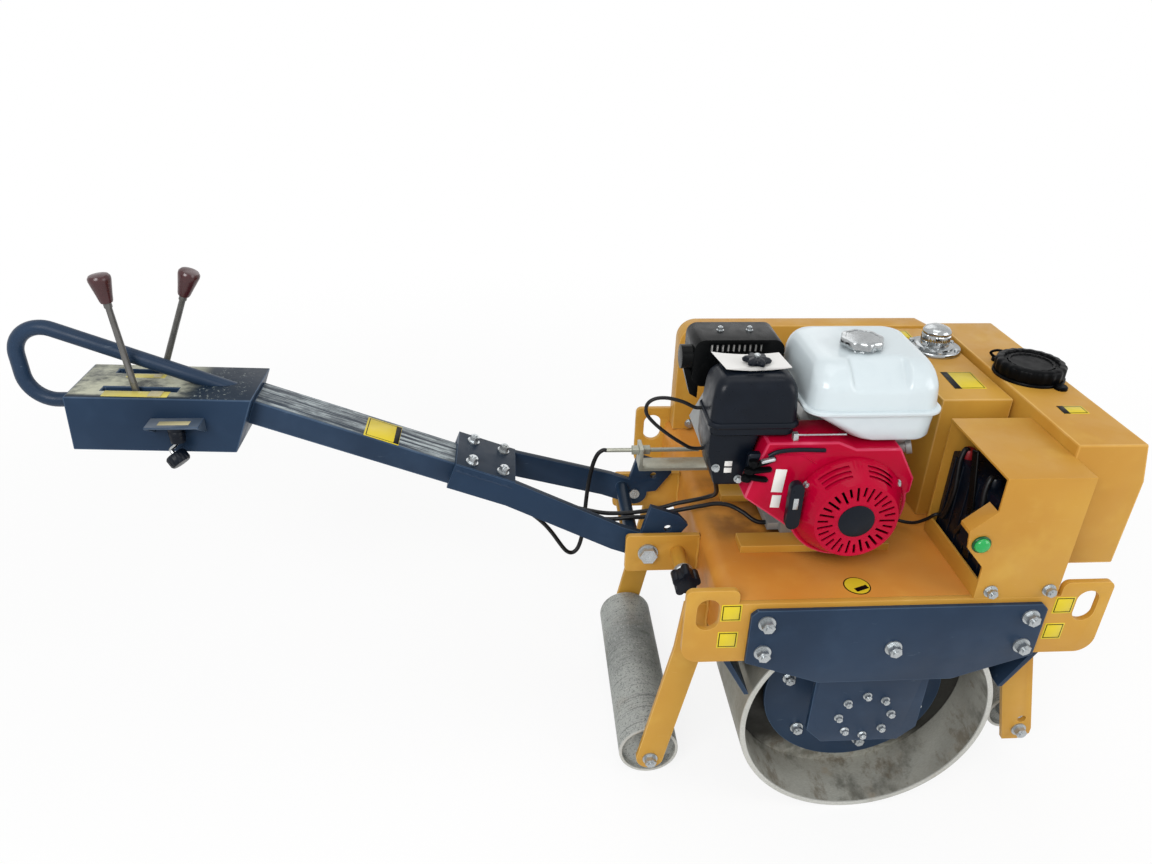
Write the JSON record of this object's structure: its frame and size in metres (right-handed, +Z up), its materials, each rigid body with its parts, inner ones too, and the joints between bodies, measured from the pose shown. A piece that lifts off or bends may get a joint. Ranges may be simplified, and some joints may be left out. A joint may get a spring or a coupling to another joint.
{
  "type": "walk-behind single drum vibratory roller",
  "caption": "Walk-behind vibratory roller with one steel drum, guide rollers, deck-mounted petrol engine, tanks and a folding tiller with levers and a grip loop.",
  "frame": {"origin": "middle of the machine's length and width, on the floor", "axes": "+X forward, away from the operator; +Y to the machine's left; +Z up"},
  "size_m": [1.8316, 0.654, 0.9484],
  "materials": {
    "yellow_paint": "semi-gloss ochre yellow paint",
    "blue_paint": "semi-gloss dark blue paint",
    "rolled_steel": "bare rolled steel, stained",
    "zinc_steel": "zinc plated steel",
    "cast_aluminium": "as cast",
    "red_paint": "gloss red paint",
    "white_paint": "gloss white paint",
    "black_plastic": "moulded black plastic",
    "maroon_plastic": "gloss maroon plastic",
    "chrome_plate": "polished chrome plate",
    "black_steel": "heat-proof black paint",
    "cast_iron": "as cast, painted grey",
    "buffer_rubber": "moulded rubber",
    "cable_sheath": "black cable sheath"
  },
  "bodies": {
    "chassis": {"frame_side_right": "yellow_paint", "frame_side_left": "yellow_paint", "deck": "yellow_paint", "drum_carrier_right": "blue_paint", "drum_carrier_left": "blue_paint", "stub_axles": "zinc_steel", "rear_roller_arms": "yellow_paint", "front_roller_arms": "yellow_paint", "roller_axles": "zinc_steel", "rear_scraper": "blue_paint", "front_scraper": "blue_paint", "handle_yoke": "yellow_paint", "pivot_pins": "zinc_steel", "lock_pin": "black_plastic", "engine_rails": "yellow_paint", "engine_block": "cast_aluminium", "fan_shroud": "red_paint", "recoil_starter": "red_paint", "starter_grip": "black_plastic", "fuel_tank": "white_paint", "fuel_cap": "chrome_plate", "air_cleaner": "black_plastic", "carburettor_cover": "black_plastic", "muffler": "black_steel", "hydraulic_pump": "cast_iron", "belt_guard": "yellow_paint", "hydraulic_tank": "yellow_paint", "hydraulic_cap": "chrome_plate", "water_tank_shelf": "yellow_paint", "water_tank": "yellow_paint", "water_cap": "black_plastic", "battery_cover": "yellow_paint", "battery": "black_plastic", "start_switch": "black_plastic", "throttle_bracket": "zinc_steel", "throttle_cable": "cable_sheath", "valve_cables": "cable_sheath", "engine_leads": "cable_sheath"},
    "drum": {"drum_shell": "rolled_steel", "drum_discs": "blue_paint", "drum_buffers": "buffer_rubber"},
    "rear_roller": {"rear_roller": "rolled_steel"},
    "front_roller": {"front_roller": "rolled_steel"},
    "handle": {"handle_fork": "blue_paint", "handle_bar": "blue_paint", "control_box": "blue_paint", "grip_loop": "blue_paint", "levers": "zinc_steel", "lever_knobs": "maroon_plastic", "throttle_shelf": "blue_paint", "throttle_knob": "black_plastic", "throttle_cable_end": "cable_sheath", "valve_cables_end": "cable_sheath"}
  },
  "joints": [
    {"name": "drum_spin", "type": "hinge", "parent": "chassis", "child": "drum", "pos_m": [0.52379, 0, 0.225], "axis": [0, 1, 0], "continuous": true},
    {"name": "rear_roller_spin", "type": "hinge", "parent": "chassis", "child": "rear_roller", "pos_m": [0.16079, 0, 0.057], "axis": [0, 1, 0], "continuous": true},
    {"name": "front_roller_spin", "type": "hinge", "parent": "chassis", "child": "front_roller", "pos_m": [0.87579, 0, 0.101], "axis": [0, 1, 0], "continuous": true},
    {"name": "handle_fold", "type": "hinge", "parent": "chassis", "child": "handle", "pos_m": [0.14679, 0, 0.458], "axis": [0, 1, 0], "range_deg": [0, 48]}
  ]
}
